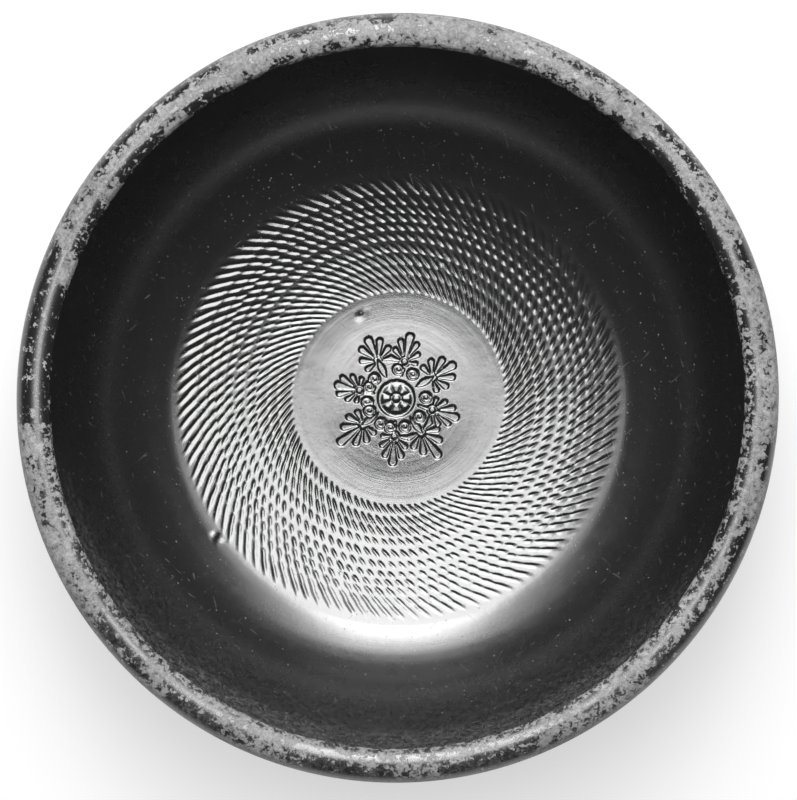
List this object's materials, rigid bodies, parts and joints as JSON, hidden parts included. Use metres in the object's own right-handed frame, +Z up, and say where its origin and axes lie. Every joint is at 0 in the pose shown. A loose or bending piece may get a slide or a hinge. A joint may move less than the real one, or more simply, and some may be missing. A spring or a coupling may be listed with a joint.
{
  "type": "bowl",
  "caption": "Shallow black-gloss pottery bowl with an outturned rolled lip, a rouletted band and stamped palmettes on its floor, on a ring foot.",
  "frame": {"origin": "centre of the plane that the foot rests on", "axes": "+Z up out of the bowl, +Y towards the top edge of the picture, +X towards its right edge"},
  "size_m": [0.219, 0.221, 0.064],
  "materials": {
    "black_gloss": "glossy black slip, worn to bare clay on the lip",
    "foot_gloss": "glossy black slip, bare clay on the resting surface",
    "bare_clay": "matt fired clay"
  },
  "bodies": {
    "root": {"bowl_body": "black_gloss", "foot_ring": "foot_gloss", "luting_slip": "bare_clay"}
  },
  "joints": []
}
